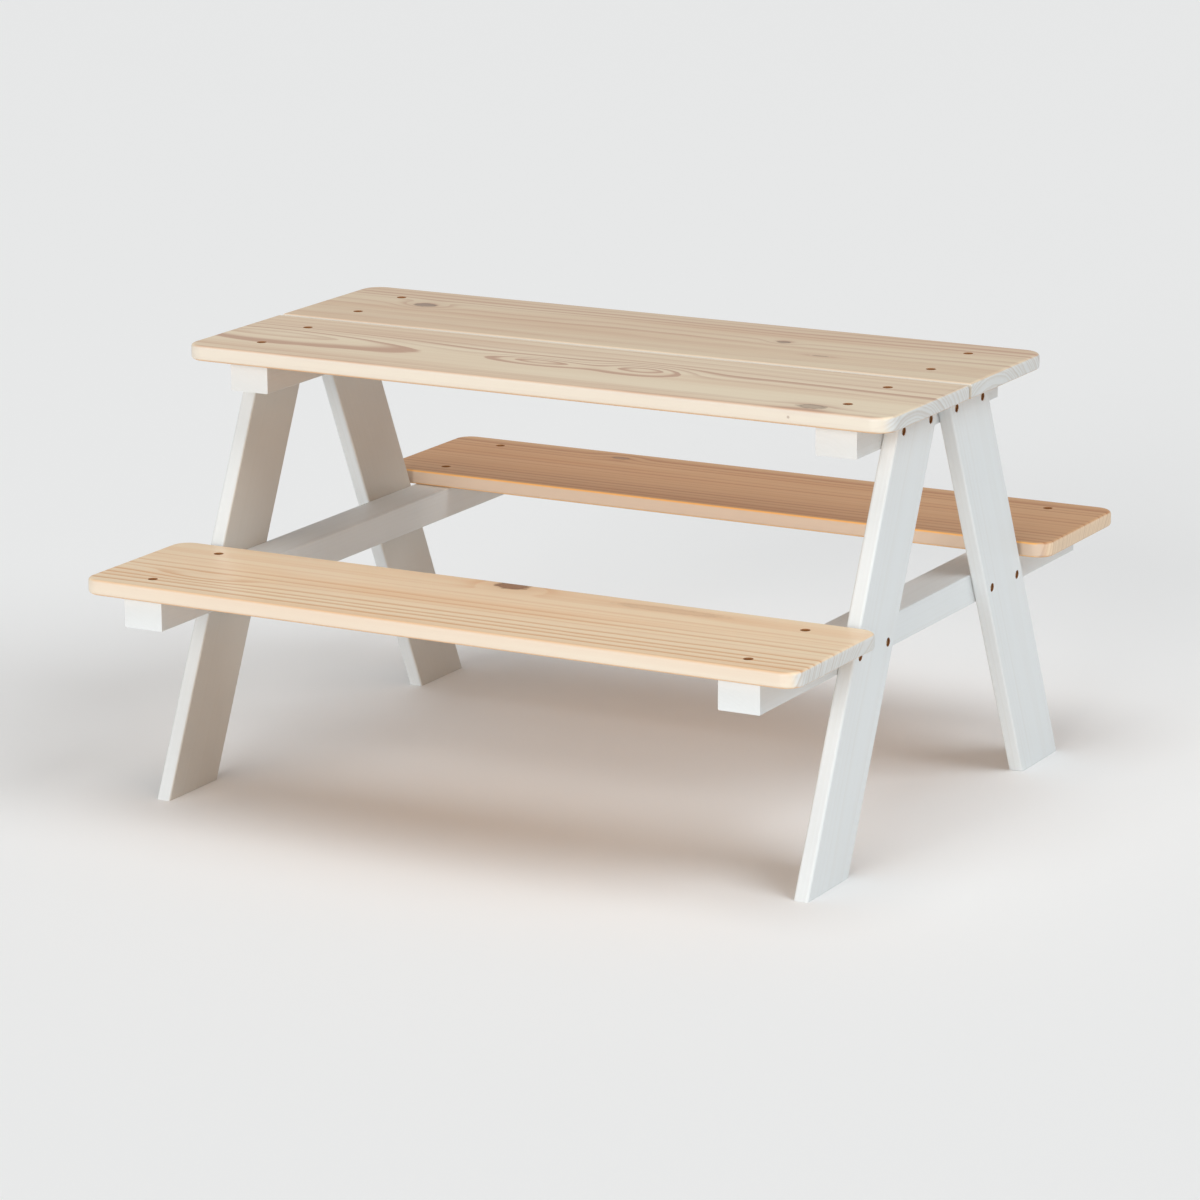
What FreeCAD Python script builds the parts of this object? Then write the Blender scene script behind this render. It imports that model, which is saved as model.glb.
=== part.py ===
"""Children's picnic table: four pine boards on two A-frames, screwed together.

Frame: the origin is on the floor under the middle of the table, +X runs along the boards,
+Y towards the rear bench and +Z up.  All sizes are in millimetres and degrees.

Every timber is drawn in its own frame with its outer face (leg and rail) on the YZ plane, or its
upper face (board and rail) on the XY plane, so that holes are bored from those planes.  It is
then placed, and a piece of the left or rear side is turned half round about Z.
"""
import FreeCAD, Part
import os
import re
import Sketcher

SHEET = "Dimensions"
DIMENSIONS = [
    ("TableLength", 900, "length of the table top and of both benches"),
    ("TableHeight", 510, "floor to the upper face of the table top"),
    ("SeatHeight", 280, "floor to the upper face of the benches"),
    ("OverallWidth", 860, "outer edge to outer edge of the two benches"),
    ("BoardWidth", 207, "width of each of the four boards"),
    ("BoardThickness", 18, "thickness of each of the four boards"),
    ("TableGap", 7, "gap between the two boards of the table top"),
    ("BoardEdgeRadius", 4, "rounding of the long and end edges of a board"),
    ("TableCornerRadius", 25, "rounding of the table top's four outer corners"),
    ("BenchCornerRadius", 22, "rounding of each bench's four corners"),
    ("LegWidth", 93, "width of a leg, square to its length"),
    ("LegThickness", 18, "thickness of a leg"),
    ("LegAngle", 24.5, "lean of a leg from upright"),
    ("LegSetback", 31, "end of the table top to the outer face of the legs"),
    ("LegTopGap", 20, "gap between the front and the rear leg under the table top"),
    ("LegEdgeRadius", 3, "rounding of a leg's long edges"),
    ("RailWidth", 50, "width of a rail"),
    ("RailHeight", 36, "height of a rail"),
    ("TopRailLength", 372, "length of a rail under the table top"),
    ("SeatRailLength", 832, "length of a rail that carries the benches"),
    ("RailEdgeRadius", 1.5, "rounding of a rail's long edges"),
    ("TableScrewSpacing", 101, "between the two screws at an end of a table board"),
    ("BenchScrewSpacing", 136, "between the two screws at an end of a bench"),
    ("LegScrewSpacing", 70, "between the two screws that hold a leg to a rail"),
    ("BoreDiameter", 10, "counterbore that sinks a screw head"),
    ("BoreDepth", 5.5, "depth of the counterbore"),
    ("ClearanceDiameter", 5, "hole through a board or leg, under the counterbore"),
    ("PilotDiameter", 4.6, "hole in a rail that takes the thread"),
    ("PilotSpare", 2.5, "room left in a rail past the point of a screw"),
    ("ScrewLength", 40, "underside of the head to the point"),
    ("ScrewHeadDiameter", 8.6, "diameter of the screw head"),
    ("ScrewHeadHeight", 3.2, "height of the screw head"),
    ("ScrewHeadRounding", 1.2, "rounding of the head's upper edge"),
    ("ScrewCoreDiameter", 3.2, "diameter between the ridges of the thread"),
    ("ScrewThreadDiameter", 4.5, "diameter over the ridges of the thread"),
    ("ScrewPlainLength", 12, "plain shank between the head and the thread"),
    ("ScrewTipLength", 5, "length of the point"),
    ("ThreadPitch", 2.2, "distance from ridge to ridge"),
    ("ThreadCount", 10, "number of ridges"),
    ("ThreadRidge", 0.9, "width of a ridge at its root"),
    ("RecessSpan", 4.8, "width of the cross recess, end to end"),
    ("RecessSlot", 1.1, "width of each slot of the cross"),
    ("RecessDepth", 1.9, "depth of the cross recess"),
]

# Lengths that several pieces share, as formulas of the sheet's cells.
LEG_FACE_X = "(TableLength / 2 - LegSetback)"
RAIL_FACE_X = "(TableLength / 2 - LegSetback - LegThickness)"
RAIL_AXIS_X = "(TableLength / 2 - LegSetback - LegThickness - RailWidth / 2)"
TOP_RAIL_Z = "(TableHeight - BoardThickness)"
SEAT_RAIL_Z = "(SeatHeight - BoardThickness)"
TABLE_BOARD_Y = "(TableGap / 2 + BoardWidth / 2)"
BENCH_BOARD_Y = "(OverallWidth / 2 - BoardWidth / 2)"
LEG_LEVEL_WIDTH = "(LegWidth / cos(LegAngle))"
TOP_JOINT_Y = f"(LegTopGap / 2 + {LEG_LEVEL_WIDTH} / 2 + RailHeight / 2 * tan(LegAngle))"
SEAT_JOINT_DROP = "(TableHeight - SeatHeight + RailHeight / 2)"
SEAT_JOINT_Y = f"(LegTopGap / 2 + {LEG_LEVEL_WIDTH} / 2 + {SEAT_JOINT_DROP} * tan(LegAngle))"
PILOT_DEPTH = "(ScrewLength - (BoardThickness - BoreDepth) + PilotSpare)"
LEG_PILOT_DEPTH = "(ScrewLength - (LegThickness - BoreDepth) + PilotSpare)"

X_AXIS, Y_AXIS = -1, -2          # a sketch's own axes; point 1 of X_AXIS is its origin
START, END, CENTRE = 1, 2, 3     # a line's two ends and a circle's centre
QUARTER_TURN, HALF_TURN, FULL_TURN = 90, 180, 360
UNBOUND = 1.0                    # what a dimension or radius is until its formula is bound
CLOSE = 0.05                     # places nearer than this, in mm, are the same
CELL_NAME = re.compile(r"[A-Z][A-Za-z]+")

os.makedirs("parts", exist_ok=True)
doc = FreeCAD.newDocument("PicnicTable")
subparts = []


def fill_sheet():
    """Write every dimension to the sheet, with a cell name that formulas can use."""
    sheet = doc.addObject("Spreadsheet::Sheet", SHEET)
    for row, (alias, value, meaning) in enumerate(DIMENSIONS, start=1):
        sheet.set(f"A{row}", meaning)
        sheet.set(f"B{row}", str(value))
        sheet.setAlias(f"B{row}", alias)
    doc.recompute()


def bind(item, path, formula):
    """Bind a property to a formula of the sheet's cells."""
    item.setExpression(path, CELL_NAME.sub(rf"{SHEET}.\g<0>", formula))


def pair_about(centre, spacing):
    """The formulas of two places, one spacing apart, with the centre halfway between them."""
    return [f"({centre} - {spacing} / 2)", f"({centre} + {spacing} / 2)"]


# ---------------------------------------------------------------- bodies, sketches and features

def new_body(label):
    """An empty body."""
    body = doc.addObject("PartDesign::Body", label)
    body.Label = label
    return body


def origin_item(body, role):
    """A plane or axis of the body's own origin."""
    return next(item for item in body.Origin.OriginFeatures if item.Role == role)


def new_sketch(body, role, name):
    """An empty sketch on a plane of the body's origin."""
    sketch = body.newObject("Sketcher::SketchObject", name)
    sketch.AttachmentSupport = (origin_item(body, role), [""])
    sketch.MapMode = "FlatFace"
    return sketch


def hold(sketch, geometry, point, across, up):
    """Dimension a point from the sketch's origin; a formula of "0" puts it on the axis."""
    for kind, axis, formula in (("DistanceX", Y_AXIS, across), ("DistanceY", X_AXIS, up)):
        if formula == "0":
            sketch.addConstraint(Sketcher.Constraint("PointOnObject", geometry, point, axis))
            continue
        index = sketch.addConstraint(
            Sketcher.Constraint(kind, X_AXIS, START, geometry, point, UNBOUND))
        bind(sketch, f"Constraints[{index}]", formula)


def draw_outline(sketch, corners):
    """A closed outline of straight lines through corners given as formulas."""
    count = len(corners)
    # The lines start out on a parabola, where no two corners meet, until they are held.
    places = [FreeCAD.Vector(number, number * number, 0) for number in range(count)]
    for number, place in enumerate(places):
        sketch.addGeometry(Part.LineSegment(place, places[(number + 1) % count]), False)
    for number in range(count):
        sketch.addConstraint(
            Sketcher.Constraint("Coincident", number, END, (number + 1) % count, START))
    for number, (across, up) in enumerate(corners):
        hold(sketch, number, START, across, up)
    doc.recompute()


def draw_circles(sketch, centres, diameter):
    """One circle at each centre given as formulas."""
    for across, up in centres:
        circle = Part.Circle(FreeCAD.Vector(1, 1, 0), FreeCAD.Vector(0, 0, 1), UNBOUND)
        number = sketch.addGeometry(circle, False)
        index = sketch.addConstraint(Sketcher.Constraint("Diameter", number, UNBOUND))
        bind(sketch, f"Constraints[{index}]", diameter)
        hold(sketch, number, CENTRE, across, up)
    doc.recompute()


def pad(body, sketch, length, inwards):
    """Pad a sketch; inwards grows the solid against the sketch's normal."""
    feature = body.newObject("PartDesign::Pad", f"{body.Name}_Pad")
    feature.Profile = sketch
    feature.Reversed = inwards
    bind(feature, "Length", length)
    doc.recompute()
    return feature


def round_edges(body, base, radius, chosen):
    """Fillet the edges of the base feature for which chosen(edge) is true."""
    names = [f"Edge{number}" for number, edge in enumerate(base.Shape.Edges, start=1)
             if chosen(edge)]
    feature = body.newObject("PartDesign::Fillet", f"{body.Name}_Fillet")
    feature.Base = (base, names)
    bind(feature, "Radius", radius)
    doc.recompute()
    if not feature.Shape.isValid() or feature.Shape.Volume >= base.Shape.Volume:
        raise RuntimeError(f"{body.Label}: the rounding removed nothing")
    return feature


def bore(body, sketch, diameter, depth=None):
    """Bore a hole at each circle: counterbored right through, or blind if a depth is given."""
    before = body.Shape.Volume
    feature = body.newObject("PartDesign::Hole", f"{body.Name}_Hole")
    feature.Profile = sketch
    doc.recompute()
    feature.ThreadType = "None"
    feature.DrillPoint = "Flat"
    bind(feature, "Diameter", diameter)
    if depth:
        feature.DepthType = "Dimension"
        bind(feature, "Depth", depth)
    else:
        feature.DepthType = "ThroughAll"
        feature.HoleCutType = "Counterbore"
        feature.HoleCutCustomValues = True
        bind(feature, "HoleCutDiameter", "BoreDiameter")
        bind(feature, "HoleCutDepth", "BoreDepth")
    doc.recompute()
    if body.Shape.Volume >= before:
        raise RuntimeError(f"{body.Label}: the bore removed nothing")
    return feature


def place(item, across, depth, height, turn_axis=None, turn=0):
    """Put a finished piece at formulas for X, Y and Z, turned about an axis."""
    if turn_axis:
        item.Placement = FreeCAD.Placement(FreeCAD.Vector(), FreeCAD.Rotation(turn_axis, turn))
    for path, formula in (("x", across), ("y", depth), ("z", height)):
        bind(item, f"Placement.Base.{path}", formula)
    subparts.append(item)


def is_upright(edge):
    """True for an edge that runs more up than across."""
    start, end = edge.Vertexes[0].Point, edge.Vertexes[-1].Point
    return abs((end - start).z) > edge.Length / 2


def is_level(edge):
    """True for an edge that lies flat."""
    return edge.BoundBox.ZLength < CLOSE


def is_lengthwise(edge):
    """True for a rail's four long edges."""
    box = edge.BoundBox
    return box.YLength > max(box.XLength, box.ZLength) and len(edge.Vertexes) == 2


# ------------------------------------------------------------------------------- timber pieces

def make_board(label, corner_radius, square_inner_corners, spacing, board_y, top_z, rear):
    """A board whose upper face is on the XY plane and whose outer edge is towards -Y."""
    body = new_body(label)
    outline = new_sketch(body, "XY_Plane", f"{label}_outline")
    ends, sides = ("-TableLength / 2", "TableLength / 2"), ("-BoardWidth / 2", "BoardWidth / 2")
    draw_outline(outline, [(ends[0], sides[0]), (ends[1], sides[0]),
                           (ends[1], sides[1]), (ends[0], sides[1])])
    blank = pad(body, outline, "BoardThickness", inwards=True)

    def at_rounded_corner(edge):
        return is_upright(edge) and not (square_inner_corners and edge.CenterOfMass.y > 0)

    cornered = round_edges(body, blank, corner_radius, at_rounded_corner)
    round_edges(body, cornered, "BoardEdgeRadius", is_level)
    marks = new_sketch(body, "XY_Plane", f"{label}_screws")
    draw_circles(marks, [(end_x, y) for end_x in (f"-{RAIL_AXIS_X}", RAIL_AXIS_X)
                         for y in pair_about("0", spacing)], "ClearanceDiameter")
    bore(body, marks, "ClearanceDiameter")
    side = "" if rear else "-"
    turn = HALF_TURN if rear else 0
    place(body, "0", side + board_y, top_z, FreeCAD.Vector(0, 0, 1), turn)


def make_leg(label, front, left):
    """A leg whose outer face is on the YZ plane and whose upper end is level with Z = 0."""
    body = new_body(label)
    lean = "-" if front != left else ""
    drop = f"-{TOP_RAIL_Z}"
    inner_top = "LegTopGap / 2"
    outer_top = f"(LegTopGap / 2 + {LEG_LEVEL_WIDTH})"
    spread = f"{TOP_RAIL_Z} * tan(LegAngle)"
    outline = new_sketch(body, "YZ_Plane", f"{label}_outline")
    draw_outline(outline, [(f"{lean}({inner_top})", "0"), (f"{lean}({outer_top})", "0"),
                           (f"{lean}({outer_top} + {spread})", drop),
                           (f"{lean}({inner_top} + {spread})", drop)])
    blank = pad(body, outline, "LegThickness", inwards=True)
    round_edges(body, blank, "LegEdgeRadius", is_upright)
    marks = new_sketch(body, "YZ_Plane", f"{label}_screws")
    draw_circles(marks, [(f"{lean}{y}", f"-{drop_to_joint}")
                         for joint_y, drop_to_joint in ((TOP_JOINT_Y, "RailHeight / 2"),
                                                        (SEAT_JOINT_Y, SEAT_JOINT_DROP))
                         for y in pair_about(joint_y, "LegScrewSpacing")], "ClearanceDiameter")
    bore(body, marks, "ClearanceDiameter")
    side = "-" if left else ""
    turn = HALF_TURN if left else 0
    place(body, side + LEG_FACE_X, "0", TOP_RAIL_Z, FreeCAD.Vector(0, 0, 1), turn)


def make_rail(label, length, top_z, board_y, board_spacing, joint_y, left):
    """A rail whose outer face is on the YZ plane and whose upper face is on the XY plane."""
    body = new_body(label)
    outline = new_sketch(body, "XY_Plane", f"{label}_outline")
    draw_outline(outline, [("-RailWidth", f"-{length} / 2"), ("0", f"-{length} / 2"),
                           ("0", f"{length} / 2"), ("-RailWidth", f"{length} / 2")])
    blank = pad(body, outline, "RailHeight", inwards=True)
    round_edges(body, blank, "RailEdgeRadius", is_lengthwise)
    down = new_sketch(body, "XY_Plane", f"{label}_board_pilots")
    draw_circles(down, [("-RailWidth / 2", sign + y) for sign in ("-", "")
                        for y in pair_about(board_y, board_spacing)], "PilotDiameter")
    bore(body, down, "PilotDiameter", PILOT_DEPTH)
    across = new_sketch(body, "YZ_Plane", f"{label}_leg_pilots")
    draw_circles(across, [(sign + y, "-RailHeight / 2") for sign in ("-", "")
                          for y in pair_about(joint_y, "LegScrewSpacing")], "PilotDiameter")
    bore(body, across, "PilotDiameter", LEG_PILOT_DEPTH)
    side = "-" if left else ""
    turn = HALF_TURN if left else 0
    place(body, side + RAIL_FACE_X, "0", top_z, FreeCAD.Vector(0, 0, 1), turn)


# --------------------------------------------------------------------------------------- screws

def spin(body, sketch, name):
    """Revolve a half section about the body's Z axis."""
    feature = body.newObject("PartDesign::Revolution", name)
    feature.Profile = sketch
    feature.ReferenceAxis = (origin_item(body, "Z_Axis"), [""])
    feature.Angle = FULL_TURN
    doc.recompute()
    return feature


def make_screw():
    """One pan-headed wood screw, head up, with the underside of its head on the XY plane."""
    body = new_body("screw_pattern")
    head, core, thread = ("ScrewHeadDiameter / 2", "ScrewCoreDiameter / 2",
                          "ScrewThreadDiameter / 2")
    tip_z = "-(ScrewLength - ScrewTipLength)"
    section = new_sketch(body, "XZ_Plane", "screw_section")
    draw_outline(section, [("0", "ScrewHeadHeight"), (head, "ScrewHeadHeight"), (head, "0"),
                           (core, "0"), (core, tip_z), ("0", "-ScrewLength")])
    blank = spin(body, section, "screw_blank")

    def on_crown(edge):
        return edge.BoundBox.ZMin > blank.Shape.BoundBox.ZMax - CLOSE

    round_edges(body, blank, "ScrewHeadRounding", on_crown)
    ridge_section = new_sketch(body, "XZ_Plane", "ridge_section")
    inside = "ScrewCoreDiameter / 4"
    first_z = "ScrewPlainLength"
    draw_outline(ridge_section, [(inside, f"-{first_z}"), (core, f"-{first_z}"),
                                 (thread, f"-({first_z} + ThreadRidge / 2)"),
                                 (core, f"-({first_z} + ThreadRidge)"),
                                 (inside, f"-({first_z} + ThreadRidge)")])
    ridge = spin(body, ridge_section, "ridge")
    ridges = body.newObject("PartDesign::LinearPattern", "ridges")
    ridges.Originals = [ridge]
    ridges.Direction = (origin_item(body, "Z_Axis"), [""])
    ridges.Reversed = True
    bind(ridges, "Length", "ThreadPitch * (ThreadCount - 1)")
    bind(ridges, "Occurrences", "ThreadCount")
    body.Tip = ridges
    doc.recompute()

    recess = new_sketch(body, "XY_Plane", "recess_outline")
    bind(recess, "AttachmentOffset.Base.z", "ScrewHeadHeight")
    arm, slot = "RecessSpan / 2", "RecessSlot / 2"
    quarter = [(arm, slot), (slot, slot), (slot, arm)]
    corners = quarter + [(f"-{across}", up) for across, up in reversed(quarter)]
    corners += [(f"-{across}", f"-{up}") for across, up in quarter]
    corners += [(across, f"-{up}") for across, up in reversed(quarter)]
    draw_outline(recess, corners)
    before = body.Shape.Volume
    pocket = body.newObject("PartDesign::Pocket", "recess")
    pocket.Profile = recess
    bind(pocket, "Length", "RecessDepth")
    doc.recompute()
    if body.Shape.Volume >= before:
        raise RuntimeError("the cross recess removed nothing")
    return body


def link_pair(screw, name, spacing):
    """Two links to the screw, one spacing apart along Y."""
    links = []
    for number, offset in enumerate(pair_about("0", spacing), start=1):
        link = doc.addObject("App::Link", f"{name}_{number}")
        link.LinkedObject = screw
        bind(link, "Placement.Base.y", offset)
        links.append(link)
    doc.recompute()
    return links


def make_screw_pair(label, links, across, depth, height, turn_axis=None, turn=0):
    """Two screws as one named piece."""
    pair = doc.addObject("Part::Compound", label)
    pair.Label = label
    pair.Links = links
    place(pair, across, depth, height, turn_axis, turn)


def make_screws():
    """The pairs of screws: down through each board's ends, and in through each leg's joints."""
    screw = make_screw()
    table_links = link_pair(screw, "table_screw", "TableScrewSpacing")
    bench_links = link_pair(screw, "bench_screw", "BenchScrewSpacing")
    leg_links = link_pair(screw, "leg_screw", "LegScrewSpacing")
    head_z = "TableHeight - BoreDepth"
    bench_head_z = "SeatHeight - BoreDepth"
    for end, end_sign in (("front", "-"), ("rear", "")):
        for side, side_sign in (("left", "-"), ("right", "")):
            name = f"{end}_{side}"
            outwards = FreeCAD.Vector(0, -1 if side == "left" else 1, 0)
            rail_x = side_sign + RAIL_AXIS_X
            leg_x = f"{side_sign}({LEG_FACE_X} - BoreDepth)"
            make_screw_pair(f"table_screws_{name}", table_links,
                            rail_x, end_sign + TABLE_BOARD_Y, head_z)
            make_screw_pair(f"bench_screws_{name}", bench_links,
                            rail_x, end_sign + BENCH_BOARD_Y, bench_head_z)
            make_screw_pair(f"leg_top_screws_{name}", leg_links, leg_x,
                            end_sign + TOP_JOINT_Y, f"{TOP_RAIL_Z} - RailHeight / 2",
                            outwards, QUARTER_TURN)
            make_screw_pair(f"leg_seat_screws_{name}", leg_links, leg_x,
                            end_sign + SEAT_JOINT_Y, f"{SEAT_RAIL_Z} - RailHeight / 2",
                            outwards, QUARTER_TURN)


# ------------------------------------------------------------------------------------ the table

def make_table():
    """All the pieces in their places."""
    for end in ("front", "rear"):
        rear = end == "rear"
        make_board(f"table_board_{end}", "TableCornerRadius", True, "TableScrewSpacing",
                   TABLE_BOARD_Y, "TableHeight", rear)
        make_board(f"bench_board_{end}", "BenchCornerRadius", False, "BenchScrewSpacing",
                   BENCH_BOARD_Y, "SeatHeight", rear)
    for side in ("left", "right"):
        left = side == "left"
        make_rail(f"top_rail_{side}", "TopRailLength", TOP_RAIL_Z,
                  TABLE_BOARD_Y, "TableScrewSpacing", TOP_JOINT_Y, left)
        make_rail(f"seat_rail_{side}", "SeatRailLength", SEAT_RAIL_Z,
                  BENCH_BOARD_Y, "BenchScrewSpacing", SEAT_JOINT_Y, left)
        for end in ("front", "rear"):
            make_leg(f"leg_{end}_{side}", end == "front", left)
    make_screws()
    doc.recompute()


def check_document():
    """Stop if a feature failed or a piece has no valid shape."""
    for item in doc.Objects:
        if "Invalid" in item.State or "Error" in item.State:
            raise RuntimeError(f"{item.Label} failed: {item.State}")
    for item in subparts:
        if item.Shape.isNull() or not item.Shape.isValid():
            raise RuntimeError(f"{item.Label} has no valid shape")


def write_parts():
    """Write one STEP file for each piece and print what it holds."""
    for item in subparts:
        item.Shape.exportStep(f"parts/{item.Label}.step")
        box = item.Shape.optimalBoundingBox(False, False)
        print(f"{item.Label}: {len(item.Shape.Solids)} solid(s), {item.Shape.Volume:.0f} mm3, "
              f"X {box.XMin:.1f} to {box.XMax:.1f}, Y {box.YMin:.1f} to {box.YMax:.1f}, "
              f"Z {box.ZMin:.1f} to {box.ZMax:.1f}")


fill_sheet()
make_table()
check_document()
write_parts()
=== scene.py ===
"""A child-size picnic table: four pine boards screwed down on two white-glazed A-frame ends.

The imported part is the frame. Every timber and every pair of screws takes its place and size
from its node in that frame. Lengths are metres, unless a name ends in _mm.
"""

import math

import bmesh
import bpy
from mathutils import Euler, Matrix, Vector


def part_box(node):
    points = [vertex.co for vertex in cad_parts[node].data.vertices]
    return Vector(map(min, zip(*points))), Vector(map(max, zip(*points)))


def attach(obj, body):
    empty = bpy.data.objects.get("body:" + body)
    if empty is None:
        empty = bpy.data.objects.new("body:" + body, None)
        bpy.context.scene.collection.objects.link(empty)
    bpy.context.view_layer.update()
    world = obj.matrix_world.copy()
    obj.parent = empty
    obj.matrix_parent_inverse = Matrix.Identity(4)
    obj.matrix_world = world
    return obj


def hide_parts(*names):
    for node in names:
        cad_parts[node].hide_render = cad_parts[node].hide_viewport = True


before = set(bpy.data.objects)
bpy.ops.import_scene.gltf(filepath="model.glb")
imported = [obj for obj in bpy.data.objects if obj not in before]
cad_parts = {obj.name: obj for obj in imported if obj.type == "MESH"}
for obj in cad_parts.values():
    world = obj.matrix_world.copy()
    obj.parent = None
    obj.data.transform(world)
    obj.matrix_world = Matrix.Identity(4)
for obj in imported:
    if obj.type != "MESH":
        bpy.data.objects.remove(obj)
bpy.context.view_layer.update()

bl_info = {
    "name": "Child Picnic Table",
    "version": (1, 0, 0),
    "blender": (4, 5, 0),
    "location": "3D View > Sidebar > Picnic Table",
    "description": "Builds a pine and white-glazed picnic table with its screws, floor and lights",
    "category": "Add Mesh",
}

MM = 0.001
NEAR = 0.00005
ROOT = "root"
UP = Vector((0, 0, 1))

# ----------------------------------------------------------------------------- sizes and finishes


def length(name, description, default_mm):
    """A length property whose default is given in millimetres."""
    return bpy.props.FloatProperty(name=name, description=description, default=default_mm * MM,
                                   min=0.0, subtype="DISTANCE", unit="LENGTH", precision=5)


def colour(name, description, red, green, blue):
    """A colour property, given as linear light."""
    return bpy.props.FloatVectorProperty(name=name, description=description, size=3, min=0.0,
                                         max=1.0, subtype="COLOR", default=(red, green, blue))


def share(name, description, default):
    """A property between nothing and all."""
    return bpy.props.FloatProperty(name=name, description=description, default=default,
                                   min=0.0, max=1.0, subtype="FACTOR")


class PICNIC_PG_sizes(bpy.types.PropertyGroup):
    """Roundings, bores and the screw's own sizes."""

    table_corner: length("Table corner", "Radius of the tabletop's four corners", 25)
    bench_corner: length("Bench corner", "Radius of each bench's four corners", 22)
    board_arris: length("Board arris", "Rounding of the boards' long and end edges", 4)
    leg_arris: length("Leg arris", "Rounding of the legs' long edges", 3)
    rail_arris: length("Rail arris", "Rounding of the rails' long edges", 1.5)
    bore: length("Bore", "Diameter of the bore that a screw head sits in", 10)
    bore_rim: length("Bore rim", "Width of the chamfer round a bore's mouth", 0.7)
    clearance: length("Clearance hole", "Diameter of the hole a screw passes through", 5)
    pilot: length("Pilot hole", "Diameter of the hole a screw bites into", 4.6)
    pilot_spare: length("Pilot spare", "How far a pilot hole goes past the screw's tip", 2.5)
    head_height: length("Screw head", "Height of the screw's domed head", 3.2)
    head_wall: length("Head wall", "Height of the straight wall under the dome", 1.3)
    core: length("Screw core", "Diameter of the screw under its thread", 3.2)
    thread: length("Screw thread", "Diameter over the thread", 4.5)
    plain: length("Plain shank", "Length of the unthreaded shank under the head", 12)
    tip: length("Screw tip", "Length of the screw's point", 5)
    pitch: length("Thread pitch", "Rise of one turn of thread", 2.2)
    ridge: length("Thread ridge", "Width of the thread where it leaves the core", 0.9)
    recess: length("Recess", "Span of the cross recess in the head", 4.8)
    recess_slot: length("Recess slot", "Width of each slot of the cross recess", 1.1)
    recess_depth: length("Recess depth", "Depth of the cross recess", 1.9)


class PICNIC_PG_finish(bpy.types.PropertyGroup):
    """Colours of the woods, the glaze, the screws and the floor."""

    table_early: colour("Table wood", "Pale early wood of the front table board",
                        0.895, 0.76, 0.565)
    table_rear: colour("Rear table wood", "Pale early wood of the rear table board",
                       0.81, 0.667, 0.483)
    table_late: colour("Table streaks", "Pinkish late wood of the tabletop", 0.62, 0.40, 0.28)
    bench_early: colour("Bench wood", "Pale early wood of the front bench", 0.90, 0.735, 0.525)
    bench_late: colour("Bench streaks", "Darker late wood of the front bench", 0.74, 0.43, 0.22)
    # The rear bench's two wood colours are darker and more orange than the front bench's: partly its
    # own wood, partly a painted shade for the tabletop's shadow and warm bounce on it.
    rear_wood_and_painted_shade: colour("Rear bench wood", "Pale early wood of the rear bench", 0.665, 0.39, 0.205)
    rear_streaks_and_painted_shade: colour("Rear bench streaks", "Darker late wood of the rear bench", 0.50, 0.225, 0.095)
    knot_heart: colour("Knot heart", "Heart of a knot", 0.22, 0.10, 0.05)
    knot_grey: colour("Grey knot", "Heart of a weathered knot", 0.26, 0.23, 0.20)
    long_edge: colour("Long edge", "Cream wood of the boards' long edges", 0.765, 0.715, 0.63)
    # Painted warm shade on the boards' undersides, standing in for the warm shade and bounce under
    # the table.
    underside_painted_shade: colour("Heart side", "Warmer heartwood on the boards' undersides",
                       0.78, 0.46, 0.22)
    end_grain: colour("End grain", "Sawn ends of the boards", 0.70, 0.715, 0.715)
    rear_ends: colour("Rear bench ends", "Sawn ends of the rear bench", 0.80, 0.63, 0.46)
    # Painted warm highlight along the rear bench's arrises.
    rear_arris_painted_light: colour("Rear bench arris", "Golden arris of the rear bench", 1.0, 0.52, 0.14)
    # Painted light on the boards' arrises: an orange-brown painted shade on the lower ones, a faint
    # painted warm highlight on the upper ones.
    arris_painted_light: colour("Arris", "Wood where an edge is rounded over", 0.72, 0.37, 0.13)
    # Bore walls: bare wood painted dark brown as a painted shade for the depth of the bores.
    bore_wood_and_painted_shade: colour("Raw bore", "Bare wood inside the bores", 0.24, 0.10, 0.032)
    glaze: colour("White glaze", "White glaze on the frame", 0.765, 0.79, 0.795)
    glaze_grain: colour("Grain in glaze", "Wood that shows faintly through the glaze",
                        0.64, 0.61, 0.56)
    # Painted warm shade on the frame's faces that turn in under the table.
    inner_face_painted_shade: colour("Glaze inside", "Thinner glaze on the faces under the table",
                         0.66, 0.575, 0.47)
    screw: colour("Screw", "Yellow passivated screw metal", 0.80, 0.58, 0.26)
    floor: colour("Floor", "Studio floor", 0.92, 0.92, 0.92)


# --------------------------------------------------------------------------------- shader writing


class Wire:
    """One output of a material's nodes. Arithmetic on it adds Math nodes."""

    def __init__(self, shade, socket):
        self.shade = shade
        self.socket = socket

    def __add__(self, other):
        return self.shade.maths("ADD", self, other)

    def __sub__(self, other):
        return self.shade.maths("SUBTRACT", self, other)

    def __rsub__(self, other):
        return self.shade.maths("SUBTRACT", other, self)

    def __mul__(self, other):
        return self.shade.maths("MULTIPLY", self, other)

    def __truediv__(self, other):
        return self.shade.maths("DIVIDE", self, other)

    def __rtruediv__(self, other):
        return self.shade.maths("DIVIDE", other, self)

    def __neg__(self):
        return self.shade.maths("MULTIPLY", self, -1.0)

    def __abs__(self):
        return self.shade.maths("ABSOLUTE", self)

    __radd__ = __add__
    __rmul__ = __mul__


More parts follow.
